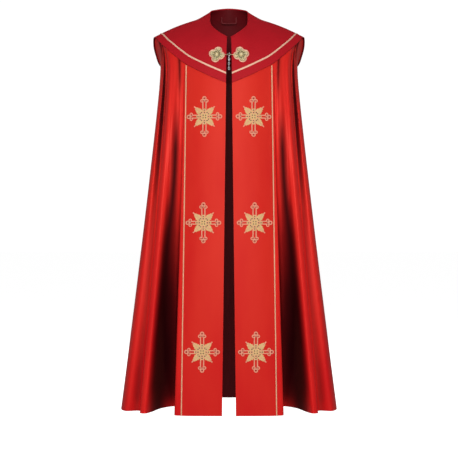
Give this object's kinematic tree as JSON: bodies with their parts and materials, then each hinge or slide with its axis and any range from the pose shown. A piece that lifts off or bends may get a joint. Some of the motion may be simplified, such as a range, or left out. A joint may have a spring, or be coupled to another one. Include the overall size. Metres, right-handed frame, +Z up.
{
  "type": "cope",
  "caption": "Open-fronted ceremonial cape with a shaped yoke, two embroidered front bands, gold piping and a two-plate ring clasp with a hanging chain.",
  "frame": {"origin": "centre of the neck opening, where the wearer's neck and shoulders carry the cope", "axes": "+Z up; the open fronts face -Y; +X is to the right in front view"},
  "size_m": [0.7966, 0.4777, 1.4945],
  "materials": {
    "cape_satin": "satin",
    "lining": "satin",
    "yoke_brocade": "matte",
    "orphrey_satin": "satin",
    "interlining": "matte",
    "gold_braid": "satin",
    "gold_embroidery": "satin",
    "clasp_gilt": "polished",
    "chain_steel": "polished"
  },
  "bodies": {
    "cope": {"cape_lining_left": "lining", "cape_lining_right": "lining", "clasp_boss_left": "clasp_gilt", "clasp_boss_right": "clasp_gilt", "clasp_eye_left": "clasp_gilt", "clasp_eye_right": "clasp_gilt", "clasp_plate_left": "clasp_gilt", "clasp_plate_right": "clasp_gilt", "cross_1_left": "gold_embroidery", "cross_1_right": "gold_embroidery", "cross_2_left": "gold_embroidery", "cross_2_right": "gold_embroidery", "cross_3_left": "gold_embroidery", "cross_3_right": "gold_embroidery", "hanging_loop": "lining", "neck_binding": "yoke_brocade", "orphrey_interlining_left": "interlining", "orphrey_interlining_right": "interlining", "orphrey_left": "orphrey_satin", "orphrey_right": "orphrey_satin", "panel_back_left": "cape_satin", "panel_back_right": "cape_satin", "panel_front_left": "cape_satin", "panel_front_right": "cape_satin", "panel_side_back_left": "cape_satin", "panel_side_back_right": "cape_satin", "panel_side_front_left": "cape_satin", "panel_side_front_right": "cape_satin", "panel_side_left": "cape_satin", "panel_side_right": "cape_satin", "piping_left": "gold_braid", "piping_right": "gold_braid", "yoke_back": "yoke_brocade", "yoke_braid": "gold_braid", "yoke_front_left": "yoke_brocade", "yoke_front_right": "yoke_brocade", "yoke_lining_back": "lining", "yoke_lining_front_left": "lining", "yoke_lining_front_right": "lining"},
    "ring": {"clasp_ring": "chain_steel"},
    "link_1": {"chain_link_1": "chain_steel"},
    "link_2": {"chain_link_2": "chain_steel"},
    "link_3": {"chain_link_3": "chain_steel"},
    "link_4": {"chain_link_4": "chain_steel"},
    "link_5": {"chain_link_5": "chain_steel"},
    "link_6": {"chain_link_6": "chain_steel"}
  },
  "joints": [
    {"name": "ring_swing", "type": "hinge", "parent": "cope", "child": "ring", "pos_m": [0, -0.14617, -0.115], "axis": [1, 0, 0], "range_deg": [-25, 8]},
    {"name": "link_1_swing", "type": "hinge", "parent": "ring", "child": "link_1", "pos_m": [0, -0.14617, -0.1192], "axis": [1, 0, 0], "range_deg": [-45, 10]},
    {"name": "link_2_sway", "type": "hinge", "parent": "link_1", "child": "link_2", "pos_m": [0, -0.14617, -0.1277], "axis": [0, 1, 0], "range_deg": [-6, 6]},
    {"name": "link_3_swing", "type": "hinge", "parent": "link_2", "child": "link_3", "pos_m": [0, -0.14617, -0.1362], "axis": [1, 0, 0], "range_deg": [-20, 20]},
    {"name": "link_4_sway", "type": "hinge", "parent": "link_3", "child": "link_4", "pos_m": [0, -0.14617, -0.1447], "axis": [0, 1, 0], "range_deg": [-9, 9]},
    {"name": "link_5_swing", "type": "hinge", "parent": "link_4", "child": "link_5", "pos_m": [0, -0.14617, -0.1532], "axis": [1, 0, 0], "range_deg": [-20, 20]},
    {"name": "link_6_sway", "type": "hinge", "parent": "link_5", "child": "link_6", "pos_m": [0, -0.14617, -0.1617], "axis": [0, 1, 0], "range_deg": [-18, 18]}
  ]
}
